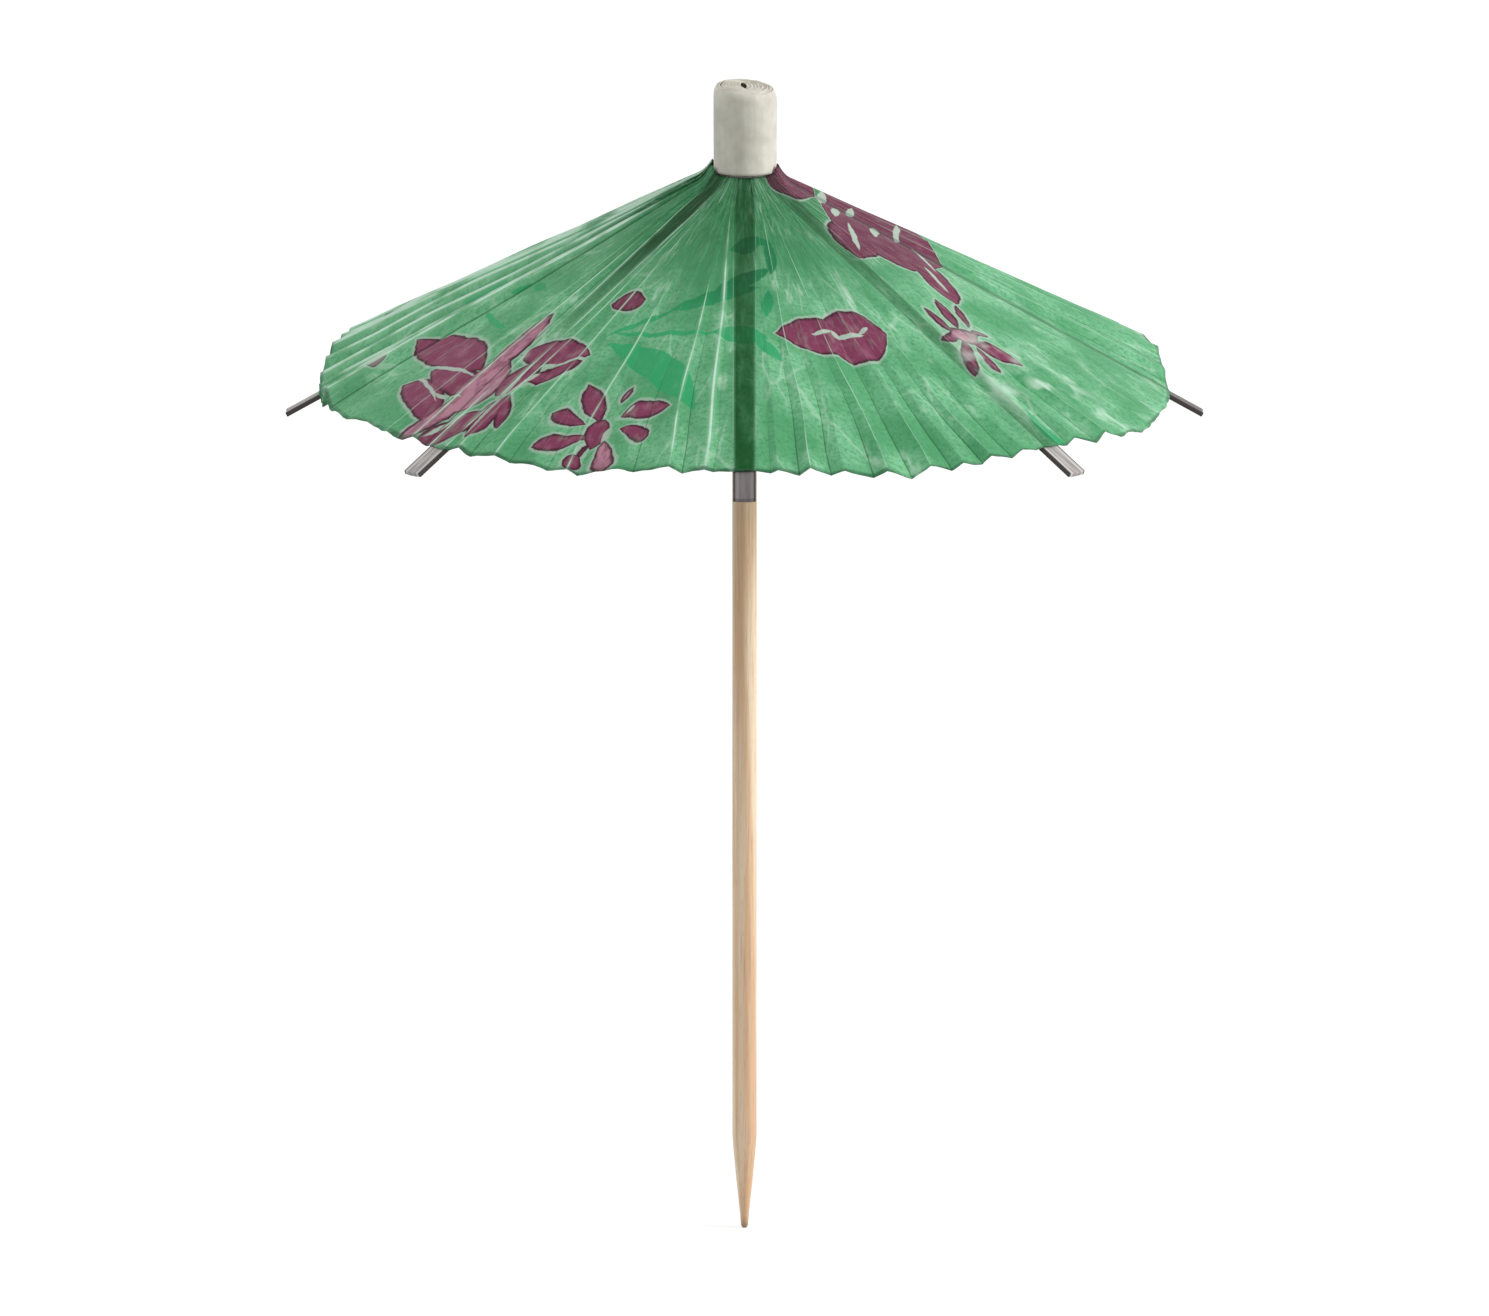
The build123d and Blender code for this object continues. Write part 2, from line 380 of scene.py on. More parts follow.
# Printed shapes on the open paper seen from above, in mm. Edge is about the distance outside the outline.
def makeShapeGroup():
    inputs = {"Place": "Vector", "Centre": "Vector", "Turn": "Float", "Length": "Float", "Width": "Float",
              "Bend": "Float", "Round": "Float", "Taper": "Float"}
    group, entry, leave = newGroup("printShape", inputs, ["Edge"])
    moved = calcVector(group, "SUBTRACT", entry["Place"], entry["Centre"])
    back = times(group, entry["Turn"], -1.0)
    turned = put(group, "ShaderNodeVectorRotate", {"Vector": moved, "Angle": back}, rotation_type="Z_AXIS")
    parts = partsOf(group, turned.outputs[0])
    along = calc(group, "DIVIDE", parts["X"], entry["Length"])
    middle = times(group, entry["Bend"], along, along)
    across = calc(group, "ABSOLUTE", calc(group, "SUBTRACT", parts["Y"], middle))
    swell = calc(group, "MAXIMUM", calc(group, "MULTIPLY_ADD", entry["Taper"], along, 1.0), 0.1)
    sideways = calc(group, "DIVIDE", across, times(group, entry["Width"], swell))
    lengthways = calc(group, "POWER", calc(group, "ABSOLUTE", along), entry["Round"])
    outside = calc(group, "SUBTRACT", calc(group, "ADD", lengthways, sideways), 1.0)
    group.links.new(times(group, outside, entry["Width"]), leave["Edge"])
    return group


shapeGroup = makeShapeGroup()
# Each shape is (x, y, turn in degrees, half length, half width, bend, roundness, taper).
plumShapes = [
    # large blossom on the left
    (-24.7, -11.0, -64, 6.4, 1.9, -0.2, 3.5, 0.15), (-24.0, -17.2, -56, 4.6, 1.5, 0.3, 2.8, 0.2),
    (-26.8, -17.4, -74, 4.6, 1.5, -0.6, 2.8, 0.0), (-24.6, -23.8, 12, 3.3, 1.35, 0.0, 2.8, 0.0),
    (-21.5, -24.0, 51, 2.7, 1.0, 0.0, 3.0, 0.0), (-20.1, -24.0, 75, 2.0, 0.6, 0.0, 2.6, 0.0),
    (-15.8, -18.4, -28, 3.3, 1.6, 0.0, 2.6, 0.0), (-15.9, -21.0, 8, 2.5, 0.8, 0.2, 2.6, 0.0),
    (-18.8, -20.2, 30, 2.4, 1.3, 0.0, 2.6, 0.0),
    # star below it
    (-12.5, -25.8, 102, 2.3, 1.0, 0.0, 2.4, 0.0), (-14.6, -27.1, 141, 1.8, 0.75, 0.0, 3.0, 0.6),
    (-15.3, -29.6, 177, 2.4, 0.85, 0.0, 3.0, 0.4), (-14.3, -32.2, 235, 0.9, 0.8, 0.0, 2.6, 0.0),
    (-13.5, -31.1, 233, 0.9, 0.22, 0.0, 4.0, 0.0), (-9.1, -30.3, -32, 1.4, 0.85, 0.0, 3.0, 0.5),
    (-8.2, -27.8, 0, 2.1, 1.0, -0.3, 2.4, 0.0), (-12.2, -29.3, 70, 1.7, 1.0, 0.0, 2.6, 0.0),
    # oval bloom, bud and far spot
    (6.4, -19.6, 13, 3.9, 2.1, 0.2, 2.4, 0.15), (9.1, -18.9, 24, 3.0, 2.9, 0.0, 3.0, 0.0),
    (-9.7, -14.6, -10, 1.5, 1.1, 0.0, 3.0, 0.2), (-31.2, -4.6, 90, 2.0, 1.0, 0.0, 4.0, 0.0),
    # bloom that climbs over the right side
    (3.6, 0.2, 0, 2.5, 3.4, 0.0, 4.0, 0.0), (11.4, -0.2, 0, 5.5, 6.4, 0.0, 3.6, 0.0),
    (9.3, -5.9, -80, 2.7, 2.2, 0.0, 2.4, -0.2), (16.2, -5.3, -62, 3.4, 1.5, 0.0, 3.2, 0.0),
    # star beside it
    (17.0, -11.3, -58, 1.9, 0.55, 0.0, 2.4, 0.0), (18.3, -10.4, -72, 1.9, 0.45, 0.0, 2.4, 0.0),
    (16.3, -13.2, -42, 1.7, 0.5, 0.0, 2.4, 0.0), (17.3, -15.1, 55, 1.4, 0.5, 0.0, 2.4, 0.0),
    (18.8, -17.2, -80, 2.5, 0.7, 0.0, 2.6, 0.2), (20.4, -16.3, -55, 1.8, 0.5, 0.0, 2.6, 0.3),
    (21.1, -14.2, -3, 2.2, 0.95, 0.0, 2.6, 0.1), (19.6, -12.4, 40, 1.1, 0.4, 0.0, 2.4, 0.0),
    # blossoms at the back
    (20.6, 20.6, 49, 4.4, 1.7, 0.3, 2.6, 0.2), (15.9, 23.1, 109, 4.0, 1.6, 0.3, 2.6, 0.2),
    (25.4, 16.4, -6, 3.6, 1.5, -0.3, 2.6, 0.2), (16.0, 16.1, 229, 3.6, 1.4, 0.0, 2.6, 0.2),
    (8.5, 30.2, 80, 2.6, 1.0, 0.0, 2.6, 0.3), (5.4, 28.6, 165, 2.2, 0.9, 0.0, 2.6, 0.3),
    (11.4, 28.0, 10, 2.2, 0.9, 0.0, 2.6, 0.3), (7.0, 25.0, 250, 2.2, 0.9, 0.0, 2.6, 0.3),
    (-6.6, 18.4, 24, 4.4, 2.4, 0.2, 2.6, 0.1), (-16.0, 25.6, 120, 4.6, 1.7, 0.3, 2.6, 0.2),
    (-21.6, 21.8, 170, 4.4, 1.6, 0.3, 2.6, 0.2), (-17.2, 18.6, 260, 3.8, 1.6, 0.0, 2.6, 0.2),
    (-28.0, 10.6, 60, 2.2, 0.9, 0.0, 2.6, 0.3), (-30.6, 8.0, 200, 2.2, 0.9, 0.0, 2.6, 0.3),
]
# Shapes with a paler ink, drawn over the others
pinkShapes = [
    (-26.2, -21.6, 24, 3.5, 1.2, 0.0, 3.0, -0.1), (-18.8, -15.3, 42, 3.7, 1.0, 0.0, 2.6, 0.0),
    (-22.0, -19.2, 46, 3.4, 2.0, 0.0, 2.6, 0.0), (-11.7, -32.3, -92, 2.1, 0.85, 0.0, 3.0, 0.5),
    (-9.7, -25.6, 50, 0.9, 0.35, 0.0, 2.4, 0.0), (18.4, -13.9, 45, 1.5, 1.1, 0.0, 2.6, 0.0),
    (18.5, 19.2, 74, 2.6, 1.6, 0.0, 2.6, 0.0), (8.0, 27.8, 30, 1.4, 1.2, 0.0, 2.6, 0.0),
    (-18.0, 21.8, 20, 2.4, 1.6, 0.0, 2.6, 0.0), (-29.2, 9.2, 45, 1.2, 1.0, 0.0, 2.6, 0.0),
]
# Pale strokes left free inside the shapes
bareShapes = [
    (-24.9, -14.3, -50, 4.0, 0.2, -0.2, 4.0, 0.0), (-26.6, -15.6, -72, 3.4, 0.17, -0.2, 4.0, 0.0),
    (-24.9, -19.0, -45, 1.6, 0.17, 0.2, 4.0, 0.0), (-24.6, -22.8, 22, 2.4, 0.22, 0.0, 4.0, 0.0),
    (-17.9, -16.2, 58, 2.8, 0.2, 0.0, 4.0, 0.0), (-14.8, -20.1, -6, 2.4, 0.17, 0.0, 4.0, 0.0),
    (-18.6, -21.3, 24, 1.8, 0.2, 0.0, 4.0, 0.0), (-20.6, -22.2, 50, 5.0, 0.16, 0.0, 4.0, 0.0),
    (-11.3, -29.6, 55, 1.0, 0.3, 0.0, 2.4, 0.0), (-9.4, -27.6, 50, 0.5, 0.16, 0.0, 2.4, 0.0),
    (6.4, -19.1, 30, 1.0, 0.22, 0.0, 3.0, 0.0), (7.6, -18.95, -35, 0.55, 0.22, 0.0, 3.0, 0.0),
    (8.8, -18.8, 20, 1.2, 0.26, 0.0, 3.0, 0.0), (9.9, -17.9, 52, 0.6, 0.2, 0.0, 3.0, 0.0),
    (6.4, 0.0, 84, 2.4, 0.5, 0.0, 3.0, 0.0), (7.7, -1.8, 84, 1.4, 0.34, 0.0, 3.0, 0.0),
    (8.9, 0.6, 84, 1.6, 0.3, 0.0, 3.0, 0.0), (9.2, -5.2, -78, 2.2, 0.26, 0.0, 3.0, 0.0),
    (11.0, -1.4, 88, 1.6, 0.36, 0.0, 3.0, 0.0), (12.9, 1.6, 88, 2.6, 0.26, 0.0, 3.0, 0.0),
    (15.2, -1.6, -62, 2.2, 0.2, 0.0, 3.0, 0.0), (16.2, -5.2, -55, 1.8, 0.22, 0.0, 3.0, 0.0),
    (-6.6, 18.4, 30, 2.4, 0.3, 0.4, 3.0, 0.0), (19.8, 17.9, 54, 2.4, 0.2, 0.0, 3.0, 0.0),
]
leafShapes = [
    (-7.0, -23.4, -53, 6.1, 1.5, -1.0, 2.2, 0.1), (-8.7, -17.5, 13, 3.0, 0.28, 0.0, 4.0, 0.0),
    (-2.6, -16.2, 12, 4.0, 0.8, 0.2, 2.2, 0.0), (-6.8, -19.4, -15, 4.7, 0.28, 0.2, 4.0, 0.0),
    (-0.3, -20.7, -10, 2.4, 1.0, 0.0, 2.2, 0.0), (2.0, -22.2, -45, 1.6, 0.6, 0.0, 2.2, 0.0),
    (0.0, -10.6, 15, 1.2, 0.8, 0.0, 2.2, 0.0), (0.8, -9.8, 0, 1.5, 0.5, -0.2, 3.0, 0.0),
    (2.2, -11.6, -85, 2.0, 0.5, -0.2, 3.0, 0.0), (0.0, -14.4, 28, 2.6, 0.75, 0.3, 2.2, 0.0),
    (1.9, -17.0, -95, 1.7, 0.5, 0.0, 2.2, 0.0), (-18.6, -5.0, -10, 1.2, 0.35, 0.0, 2.2, 0.0),
    (-17.2, -6.8, -72, 1.5, 0.4, 0.0, 2.2, 0.0), (-21.2, -9.0, -74, 3.2, 0.28, 0.3, 4.0, 0.0),
    (-22.0, 1.5, -25, 2.8, 0.9, 0.3, 2.2, 0.0), (25.4, -24.0, -35, 3.0, 0.6, 0.9, 2.2, 0.0),
    (11.0, 19.6, 148, 4.6, 1.3, 0.9, 2.2, 0.1), (1.6, 22.0, 15, 5.0, 0.9, -0.8, 2.2, 0.1),
    (-10.6, 26.6, 20, 4.4, 1.3, 0.9, 2.2, 0.1), (-20.4, 13.6, -55, 4.6, 1.0, 0.9, 2.2, 0.1),
]
paperLook = {
    "green": tint(106, 192, 136),
    "lightGreen": tint(150, 222, 174),
    "deepGreen": tint(78, 168, 110),
    "hubShadeGreen": tint(50, 128, 78),
    "leaf": tint(54, 190, 124),
    "deepLeaf": tint(16, 136, 82),
    "plum": tint(154, 70, 106),
    "plumEdge": tint(60, 14, 32),
    "pink": tint(214, 160, 180),
    "bare": tint(204, 222, 208),
    "shine": tint(232, 255, 240),
    "glow": tint(178, 238, 200),
    "valley": tint(84, 158, 112),
    "ribShadow": tint(36, 126, 72),
    "rimShade": tint(62, 116, 82),
    "ribShadowHalf": 0.86,
    "ribShadowBlur": 0.2,
    "gleamShare": 0.55,
    "crinkleSheenShare": 0.3,
    "crumple": (24.0, -16.0, 0.0),
    "translucent": 0.3,
}


def reaches(x, y, size, azimuth):
    # whether a printed shape can lie on the paper of the rib at this azimuth
    apart = abs((math.atan2(y, x) - azimuth + math.pi) % (2 * math.pi) - math.pi)
    return apart < halfGore + (size + 1.0) / math.hypot(x, y)


def printEdge(tree, place, shapes, azimuth):
    edges = [9.0]
    for x, y, turn, length, width, bend, roundness, taper in shapes:
        if not reaches(x, y, max(length, width), azimuth):
            continue
        sockets = {"Place": place, "Centre": (x, y, 0), "Turn": math.radians(turn), "Length": length,
                   "Width": width, "Bend": bend, "Round": roundness, "Taper": taper}
        edges.append(useGroup(tree, shapeGroup, sockets)["Edge"])
    return least(tree, edges)


def makeCanopyPaper(number):
    material, tree, shader = newMaterial(f"printedTissue{number}", 0.2)
    azimuth = azimuths[number - 1]
    look = paperLook
    flat = mapOf(tree, "paperFlat")
    rib = partsOf(tree, mapOf(tree, "ribLines"))
    creases = partsOf(tree, mapOf(tree, "creaseShineShade"))
    reach = lengthOf(tree, flat)
    # streaks run from the stick outwards: a direction and a little of the distance
    around = calcVector(tree, "NORMALIZE", flat)
    outward = put(tree, "ShaderNodeCombineXYZ", {"Z": times(tree, reach, 0.012)}).outputs[0]
    streakPlace = calcVector(tree, "ADD", around, outward)
    streak = noiseOf(tree, streakPlace, 13.0, detail=3.0, roughness=0.6)
    fineStreak = noiseOf(tree, streakPlace, 55.0, detail=2.0)
    fibre = useGroup(tree, fibreGroup, {"Place": flat, "Size": 1.1})
    cloud = noiseOf(tree, flat, 0.16, detail=3.0)

    # plain tissue, with painted shade darkening it near the stick where the pleats crowd
    colour = blend(tree, rise(tree, cloud, 0.35, 0.65), look["green"], look["lightGreen"])
    colour = blend(tree, times(tree, rise(tree, streak, 0.45, 0.75), 0.55), colour, look["deepGreen"])
    hubShade = times(tree, rise(tree, reach, 21.0, 4.0), rise(tree, fineStreak, 0.3, 0.6, 0.5, 1.0))
    colour = blend(tree, hubShade, colour, look["hubShadeGreen"])
    colour = blend(tree, times(tree, rise(tree, fibre["Cloud"], 0.5, 0.8), 0.3), colour, look["deepGreen"])
    grain = noiseOf(tree, flat, 2.6, detail=3.0, roughness=0.7)
    colour = blend(tree, rise(tree, grain, 0.42, 0.7, 0.0, 0.7), colour, look["deepGreen"])
    # painted highlights: soft streaks and lines along small crinkles take the shine colour
    swayed = calcVector(tree, "ADD", streakPlace, jitterOf(tree, flat, 0.25, 0.02))
    gleam = rise(tree, noiseOf(tree, swayed, 24.0, detail=2.0), 0.58, 0.74)
    gleam = times(tree, gleam, rise(tree, cloud, 0.4, 0.6), look["gleamShare"])
    colour = blend(tree, gleam, colour, look["shine"])
    bent = calcVector(tree, "ADD", streakPlace, jitterOf(tree, flat, 0.3, 0.03))
    cells = put(tree, "ShaderNodeTexVoronoi", {"Vector": bent, "Scale": 11.0}, feature="DISTANCE_TO_EDGE")
    crinkleSheen = rise(tree, cells.outputs["Distance"], 0.045, 0.01)
    crinkleSheen = times(tree, crinkleSheen, rise(tree, cloud, 0.46, 0.6), look["crinkleSheenShare"])
    colour = blend(tree, crinkleSheen, colour, look["shine"])

    # the print, with bled edges, darker outlines and a pale line round them
    place = calcVector(tree, "ADD", flat, jitterOf(tree, flat, 0.8, 0.4))
    place = calcVector(tree, "ADD", place, jitterOf(tree, flat, 3.0, 0.15))
    pinkEdge = printEdge(tree, place, pinkShapes, azimuth)
    plumEdge = calc(tree, "MINIMUM", printEdge(tree, place, plumShapes, azimuth), pinkEdge)
    leafInk = rise(tree, printEdge(tree, place, leafShapes, azimuth), 0.06, -0.1)
    bare = rise(tree, printEdge(tree, place, bareShapes, azimuth), 0.05, -0.05)
    inkWear = rise(tree, fineStreak, 0.25, 0.5, 0.8, 1.0)
    wash = noiseOf(tree, flat, 0.7, detail=3.0)
    # painted shade: the leaf ink is darker towards the stick
    leaf = blend(tree, rise(tree, reach, 21.0, 13.0), look["leaf"], look["deepLeaf"])
    colour = blend(tree, times(tree, leafInk, inkWear, 0.9), colour, leaf)
    colour = blend(tree, times(tree, rise(tree, plumEdge, 0.4, 0.14), 0.7), colour, look["bare"])
    pinkInk = times(tree, rise(tree, pinkEdge, 0.1, -0.5), rise(tree, fineStreak, 0.38, 0.6, 0.25, 1.0))
    plum = blend(tree, rise(tree, wash, 0.45, 0.8, 0.0, 0.35), look["plum"], look["pink"])
    # painted shade: the plum ink is darker towards the stick
    plum = blend(tree, rise(tree, reach, 26.0, 12.0, 0.0, 0.4), plum, look["plumEdge"])
    plum = blend(tree, pinkInk, plum, look["pink"])
    plum = blend(tree, times(tree, rise(tree, plumEdge, -0.4, -0.06), 0.9), plum, look["plumEdge"])
    plum = blend(tree, bare, plum, look["bare"])
    colour = blend(tree, times(tree, rise(tree, plumEdge, 0.06, -0.06), inkWear), colour, plum)

    # painted shadow of the ribs through the tissue with some glue darkening, painted shade in the valleys and
    # painted highlights on the creases, a painted highlight on the crumpled patch, and painted shade along
    # the cut rim
    # painted shadow of each rib under the tissue, with some darkening by the glue
    half, blur = look["ribShadowHalf"], look["ribShadowBlur"]
    band = rise(tree, calc(tree, "ABSOLUTE", rib["X"]), half + blur, half - blur)
    band = times(tree, band, rise(tree, streak, 0.3, 0.6, 0.7, 1.0), rib["Y"])
    colour = blend(tree, band, colour, look["ribShadow"], "MULTIPLY")
    # painted shade in the pleat valleys
    valley = times(tree, rise(tree, creases["Y"], 1.0, 0.2), 0.7)
    colour = blend(tree, valley, colour, look["valley"], "MULTIPLY")
    # painted highlights along the ridges, with a softer painted glow round them
    broken = rise(tree, noiseOf(tree, flat, 0.22, detail=2.0), 0.34, 0.56, 0.15, 1.0)
    ridge = times(tree, rise(tree, creases["X"], 1.0, 0.5), broken)
    glow = times(tree, rise(tree, creases["X"], 4.0, 0.5), broken, 0.45)
    colour = blend(tree, glow, colour, look["glow"])
    colour = blend(tree, ridge, colour, look["shine"])
    # painted highlight on the crumpled patch, whose dents also raise the bump
    away = lengthOf(tree, calcVector(tree, "SUBTRACT", flat, look["crumple"]))
    shifted = calcVector(tree, "ADD", flat, jitterOf(tree, flat, 0.4, 2.0))
    patches = noiseOf(tree, shifted, 0.3, detail=2.0)
    dentsAndSheen = times(tree, rise(tree, patches, 0.48, 0.66), rise(tree, away, 8.0, 3.0))
    colour = blend(tree, times(tree, dentsAndSheen, 0.75), colour, look["shine"])
    # painted shade: a darker line along the cut rim
    rim = times(tree, rise(tree, reach, paperRim - 0.4, paperRim - 0.15), rise(tree, streak, 0.3, 0.6))
    colour = blend(tree, times(tree, rim, 0.7), colour, look["rimShade"])

    height = calc(tree, "ADD", times(tree, fibre["Hair"], 0.4), times(tree, streak, 1.2))
    height = calc(tree, "ADD", height, times(tree, dentsAndSheen, 2.0))
    normal = bumpOf(tree, height, 0.4, 0.05)
    rough = calc(tree, "SUBTRACT", rise(tree, fibre["Cloud"], 0.2, 0.8, 0.42, 0.58), times(tree, ridge, 0.2))
    connect(tree, shader, colour, rough, normal)
    through = put(tree, "ShaderNodeBsdfTranslucent", {"Color": colour, "Normal": normal}).outputs[0]
    sockets = {0: look["translucent"], 1: shader.outputs[0], 2: through}
    both = put(tree, "ShaderNodeMixShader", sockets).outputs[0]
    tree.links.new(both, tree.nodes["Material Output"].inputs["Surface"])
    return material


woodFinish = makeWood()
capFinish = makeRolledPaper("whiteRolledPaper", tint(224, 220, 208), tint(200, 195, 182), 1.6)
fillerFinish = makeRolledPaper("plainRolledPaper", tint(224, 217, 202), tint(196, 187, 170), 0.9)
cardFinish = makeCard()
ribFinish = makeRibCard()
ringFinish = makeRingPlastic()
paperFinishes = [makeCanopyPaper(number) for number in range(1, ribCount + 1)]
print("finishes ready:", len(bpy.data.materials))

# Wooden stick, whittled to a blunt point: outline as (radius, height)
stickShape = {
    "segments": 48,
    "point": [(0.0, 0.0), (0.2, 0.02), (0.3, 0.2), (0.44, 1.7), (0.73, 4.5), (0.93, 6.6)],
    "pointTop": 8.2,
    "neckStart": 68.5,
    "neckBlend": 1.0,
    "neckRadius": 1.01,
    "lengthSteps": 44,
    "underCap": 0.35,
    "uneven": 0.014,
}


def makeStick():
    shape = stickShape
    top = stickHigh.z - shape["underCap"]
    profile = list(shape["point"])
    for step in range(shape["lengthSteps"] + 1):
        height = mixed(shape["pointTop"], top, step / shape["lengthSteps"])
        thin = between(shape["neckStart"], shape["neckStart"] + shape["neckBlend"], height)
        profile.append((mixed(shankRadius, shape["neckRadius"], thin), height))
    profile.append((0.0, top))
    work = bmesh.new()
    verts = [work.verts.new((radius, 0, height)) for radius, height in profile]
    edges = [work.edges.new(pair) for pair in zip(verts, verts[1:])]
    bmesh.ops.spin(work, geom=verts + edges, cent=(0, 0, 0), axis=(0, 0, 1), angle=2 * math.pi,
                   steps=shape["segments"], use_merge=True)
    bmesh.ops.remove_doubles(work, verts=work.verts, dist=0.0005)
    bmesh.ops.recalc_face_normals(work, faces=work.faces)
    for vert in work.verts:
        grain = noise.noise(Vector((vert.co.x * 1.6, vert.co.y * 1.6, vert.co.z * 0.09)))
        vert.co.xy *= 1 - shape["uneven"] * abs(grain)
    finishPiece("woodStick", work, "stick", woodFinish, "stick")


# Cap: one strip of paper rolled round the top, its loose end showing as a seam
capShape = {
    "innerRadius": 1.12,
    "turns": 8.6,
    "segmentsPerTurn": 44,
    "paper": 0.13,
    "shoulder": 0.32,
    "ceiling": 98.45,
    "seamAzimuth": 148.0,
    "topDrop": 0.28,
    "highSide": 125.0,
    "skew": 0.26,
    "tuck": 1.0,
    "topRound": 0.2,
    "topRagged": 0.07,
    "dent": 0.012,
    "loose": [(200.0, 0.22, 0.7), (-10.0, 0.16, 0.82)],
    "rows": [0.0, 0.03, 0.35, 0.65, 0.82, 0.9, 0.945, 0.97, 0.985, 1.0],
}


def capRadiusAt(share, angle):
    # the inner turns lie loose, so that the end shows gaps on two sides: (azimuth, width, end of the turns)
    shape = capShape
    radius = mixed(shape["innerRadius"], capRadius - shape["paper"] / 2, share)
    for azimuth, width, end in shape["loose"]:
        facing = max(0.0, math.cos(angle - math.radians(azimuth))) ** 2
        radius -= width * facing * between(end + 0.04, end, share) * share
    return radius


def makeCap():
    shape = capShape
    columnCount = int(shape["turns"] * shape["segmentsPerTurn"]) + 1
    work, address = gridSheet(len(shape["rows"]), columnCount)
    for vert, (row, column) in address.items():
        share = column / (columnCount - 1)
        angle = math.radians(shape["seamAzimuth"]) - 2 * math.pi * shape["turns"] * (1 - share)
        radius = capRadiusAt(share, angle)
        bottom = capBase if radius > bandHigh.x + 0.12 else shape["ceiling"]
        rough = noise.noise(Vector((share * 9, math.cos(angle) * 2, math.sin(angle) * 2)))
        slant = shape["skew"] * math.cos(angle - math.radians(shape["highSide"]))
        top = capTop - shape["topDrop"] + slant - shape["topRound"] * share ** 5 + shape["topRagged"] * rough
        level = mixed(bottom, top, shape["rows"][row])
        radius -= shape["shoulder"] * between(top - 0.8, top, level) ** 2.2 * share ** 3
        radius -= shape["tuck"] * between(top - 0.3, top, level) ** 1.5 * (1 - share) ** 1.5
        lump = noise.noise(Vector((math.cos(angle) * 1.5, math.sin(angle) * 1.5, level / 3)))
        radius *= 1 + shape["dent"] * lump
        vert.co = (radius * math.cos(angle), radius * math.sin(angle), level)
    faceOut(work, lambda place: Vector((place.x, place.y, 0)))
    piece = finishPiece("capRoll", work, "stick", capFinish, "cap_tube")
    thicken(piece, shape["paper"])


# Card ribs: strips that narrow at the root, with a faint hollow along the middle
ribShape = {
    "slope": 29.0,
    "thickness": 0.4,
    "width": 1.8,
    "rootWidth": 1.25,
    "shoulder": 5.0,
    "rows": 15,
    "columns": 7,
    "hollow": 0.07,
    "bevel": 0.05,
}
# How much painted shade, with some soiling, darkens the card of each rib, from the front one anticlockwise;
# the front and right ribs carry the most painted shade
ribShadeAndSoiling = [0.85, 0.1, 0.9, 0.4, 0.2, 0.5, 0.3, 0.0]
slope = math.radians(ribShape["slope"])
ribLength = (-frontRibLow.y - hingeRadius - ribShape["thickness"] / 2 * math.sin(slope)) / math.cos(slope)
glueEnd = (paperRim - hingeRadius) / math.cos(slope) - 1.0


def stripFrame(origin, azimuth, fall):
    # columns: along the strip, across it, and out of its upper face
    along = Vector((math.cos(azimuth) * math.cos(fall), math.sin(azimuth) * math.cos(fall), -math.sin(fall)))
    across = Vector((-math.sin(azimuth), math.cos(azimuth), 0))
    place = Matrix((along, across, along.cross(across))).transposed().to_4x4()
    place.translation = origin
    return place


def makeRib(number):
    shape = ribShape
    work, address = gridSheet(shape["rows"], shape["columns"])
    stripMap = work.loops.layers.uv.new("stripMap")
    stripFacts = work.loops.layers.uv.new("stripFacts")
    for vert, (row, column) in address.items():
        along = ribLength * row / (shape["rows"] - 1)
        side = 2 * column / (shape["columns"] - 1) - 1
        half = mixed(shape["rootWidth"], shape["width"], between(0, shape["shoulder"], along)) / 2
        dip = shape["hollow"] * (1 - side * side) * between(2, 12, along)
        vert.co = (along, side * half, -dip)
    faceOut(work, lambda place: Vector((0, 0, 1)))
    bmesh.ops.solidify(work, geom=work.faces[:], thickness=shape["thickness"])
    lift = shape["thickness"] / 2 - max(vert.co.z for vert in work.verts)
    bmesh.ops.translate(work, vec=(0, 0, lift), verts=work.verts)
    bmesh.ops.recalc_face_normals(work, faces=work.faces)
    corners = [edge for edge in work.edges if edge.calc_face_angle(0) > 1.0]
    bmesh.ops.bevel(work, geom=corners, offset=shape["bevel"], affect="EDGES", segments=2, profile=0.5,
                    material=-1)
    bmesh.ops.bisect_plane(work, geom=work.verts[:] + work.edges[:] + work.faces[:], plane_co=(glueEnd, 0, 0),
                           plane_no=(1, 0, 0))
    for face in work.faces:
        onTop = face.normal.z > 0.5 and face.calc_center_median().x < glueEnd
        for loop in face.loops:
            loop[stripMap].uv = loop.vert.co.x, loop.vert.co.y / (shape["width"] / 2)
            loop[stripFacts].uv = onTop, ribShadeAndSoiling[number - 1]
    place = stripFrame(hinges[number - 1], azimuths[number - 1], slope)
    bmesh.ops.transform(work, matrix=place, verts=work.verts)
    finishPiece(f"cardRib{number}", work, f"rib_{number}", ribFinish, f"rib_{number}")


# Pleated paper: one surface over the whole circle. A strip is glued on each rib, with a flap on either side
# of it, all carried by that rib. Flaps of neighbouring ribs meet in the fold between them.
canopyShape = {
    "thickness": 0.1,
    "restGap": 0.04,
    "tuckedRadius": 2.5,
    "capFootRadius": 2.9,
    "lipEnd": 4.2,
    "lipRows": 8,
    "rows": 56,
    "foldColumns": 4,
    "stripRoot": 0.6,
    "stripHalf": 0.95,
    "stripFull": 7.0,
    "stripColumns": 4,
    "sag": 0.4,
    "ridgeRise": 0.62,
    "valleyDepth": 0.18,
    "foldDrift": 0.35,
    "foldWander": 0.035,
    "lipLeast": 0.03,
    "lipRise": 0.75,
    "lipUneven": 0.4,
    "rimTrim": 0.05,
    "rimRagged": 0.2,
    "rimWave": 0.3,
    "fineWrinkle": 0.06,
    "broadWrinkle": 0.12,
    "crumpleReach": 4.0,
    "crumpleHeight": 0.3,
    "ridgeShineWidth": 0.25,
    "valleyShadeWidth": 0.32,
    "foldLine": 0.7,
}
